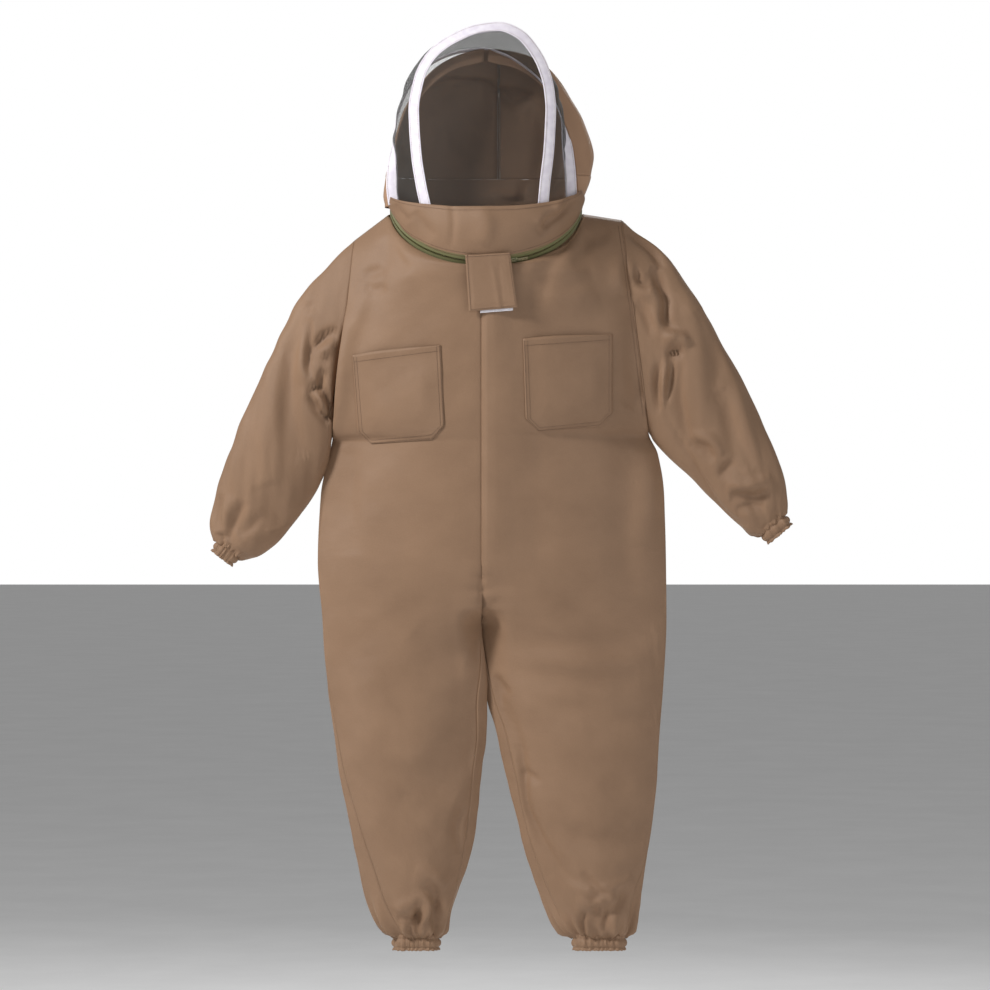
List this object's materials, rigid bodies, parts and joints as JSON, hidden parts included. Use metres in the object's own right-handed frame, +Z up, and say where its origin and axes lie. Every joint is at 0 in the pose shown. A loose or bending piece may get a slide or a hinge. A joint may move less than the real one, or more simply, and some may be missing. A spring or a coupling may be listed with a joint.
{
  "type": "beekeeping suit",
  "caption": "Hooded one-piece beekeeping coverall with a fencing-style net veil on sprung hoops, zip-off collar, throat flap, chest pockets and elastic cuffs and hems.",
  "frame": {"origin": "on the centre line of the neck opening, level with the lower edge of the veil, where the wearer's neck or a hanger holds the empty suit", "axes": "+Z up towards the hood, -Y out of the front, +X towards the wearer's left"},
  "size_m": [1.1405, 0.2592, 1.8067],
  "materials": {
    "brown_cloth": "khaki brown poly-cotton twill, soft satin sheen",
    "net": "fine black mesh",
    "white_tape": "white woven binding tape",
    "boning": "springy flat boning",
    "elastic": "woven elastic",
    "olive_tape": "olive woven zip tape",
    "olive_coil": "olive nylon coil",
    "olive_metal": "olive enamelled zinc, worn at the edges",
    "hook_and_loop": "white hook-and-loop tape"
  },
  "bodies": {
    "torso": {"back_panel_left": "brown_cloth", "back_panel_right": "brown_cloth", "chest_pocket_left": "brown_cloth", "chest_pocket_right": "brown_cloth", "collar_zip_lower_coil": "olive_coil", "collar_zip_lower_tape": "olive_tape", "flap_loop_tape": "hook_and_loop", "front_fly": "brown_cloth", "front_panel_left": "brown_cloth", "front_panel_right": "brown_cloth", "front_zip_bottom_stop": "olive_coil", "front_zip_coil_left": "olive_coil", "front_zip_coil_right": "olive_coil", "front_zip_tape_left": "olive_tape", "front_zip_tape_right": "olive_tape", "waist_casing": "brown_cloth", "waist_elastic": "elastic"},
    "hood": {"collar_band": "brown_cloth", "collar_zip_upper_coil": "olive_coil", "collar_zip_upper_tape": "olive_tape", "front_hoop": "boning", "front_hoop_binding": "white_tape", "hood_back_band": "brown_cloth", "hood_back_left": "brown_cloth", "hood_back_right": "brown_cloth", "rear_hoop": "boning", "rear_hoop_binding": "white_tape", "veil_crown": "net", "veil_face": "net"},
    "flap": {"throat_flap": "brown_cloth", "flap_hook_tape": "hook_and_loop"},
    "front_slider": {"front_slider": "olive_metal"},
    "front_pull": {"front_pull": "olive_metal"},
    "collar_slider_left": {"collar_slider_left": "olive_metal"},
    "collar_slider_right": {"collar_slider_right": "olive_metal"},
    "collar_pull_left": {"collar_pull_left": "olive_metal"},
    "collar_pull_right": {"collar_pull_right": "olive_metal"},
    "sleeve_left": {"sleeve_left": "brown_cloth", "cuff_casing_left": "brown_cloth", "wrist_elastic_left": "elastic"},
    "sleeve_right": {"sleeve_right": "brown_cloth", "cuff_casing_right": "brown_cloth", "wrist_elastic_right": "elastic"},
    "lower_leg_left": {"lower_leg_front_left": "brown_cloth", "lower_leg_back_left": "brown_cloth", "leg_hem_left": "brown_cloth", "ankle_elastic_left": "elastic"},
    "lower_leg_right": {"lower_leg_front_right": "brown_cloth", "lower_leg_back_right": "brown_cloth", "leg_hem_right": "brown_cloth", "ankle_elastic_right": "elastic"}
  },
  "joints": [
    {"name": "hood_throw_back", "type": "hinge", "parent": "torso", "child": "hood", "pos_m": [0, 0.0795, 0.021], "axis": [-1, 0, 0], "range_deg": [0, 110]},
    {"name": "flap_lift", "type": "hinge", "parent": "hood", "child": "flap", "pos_m": [0, -0.159, -0.094], "axis": [-1, 0, 0], "range_deg": [0, 150]},
    {"name": "front_zip", "type": "slide", "parent": "torso", "child": "front_slider", "axis": [0, 0.0995, -0.995], "range_m": [0, 0.54]},
    {"name": "front_pull_swing", "type": "hinge", "parent": "front_slider", "child": "front_pull", "pos_m": [0.008, -0.14315, -0.14321], "axis": [-1, 0, 0], "range_deg": [0, 6]},
    {"name": "collar_zip_left", "type": "hinge", "parent": "hood", "child": "collar_slider_left", "pos_m": [0, 0, 0.016], "axis": [0, -0.6561, 0.7547], "range_deg": [0, 56]},
    {"name": "collar_zip_right", "type": "hinge", "parent": "hood", "child": "collar_slider_right", "pos_m": [0, 0, 0.016], "axis": [0, 0.6561, -0.7547], "range_deg": [0, 70]},
    {"name": "collar_pull_left_swing", "type": "hinge", "parent": "collar_slider_left", "child": "collar_pull_left", "pos_m": [0.05785, -0.13997, -0.10567], "axis": [0, 0.6561, -0.7547], "range_deg": [0, 100]},
    {"name": "collar_pull_right_swing", "type": "hinge", "parent": "collar_slider_right", "child": "collar_pull_right", "pos_m": [-0.01296, -0.14629, -0.11117], "axis": [0, -0.6561, 0.7547], "range_deg": [0, 12]},
    {"name": "sleeve_left_fold", "type": "hinge", "parent": "torso", "child": "sleeve_left", "pos_m": [0.2933, -0.0518, -0.23], "axis": [0.1275, 0, -0.9918], "range_deg": [0, 80]},
    {"name": "sleeve_right_fold", "type": "hinge", "parent": "torso", "child": "sleeve_right", "pos_m": [-0.2803, -0.0518, -0.255], "axis": [0.1121, 0, 0.9937], "range_deg": [0, 80]},
    {"name": "lower_leg_left_fold", "type": "hinge", "parent": "torso", "child": "lower_leg_left", "pos_m": [0.18, 0.057, -1.106], "axis": [1, 0, 0], "range_deg": [0, 100]},
    {"name": "lower_leg_right_fold", "type": "hinge", "parent": "torso", "child": "lower_leg_right", "pos_m": [-0.15, 0.057, -1.106], "axis": [1, 0, 0], "range_deg": [0, 100]}
  ]
}
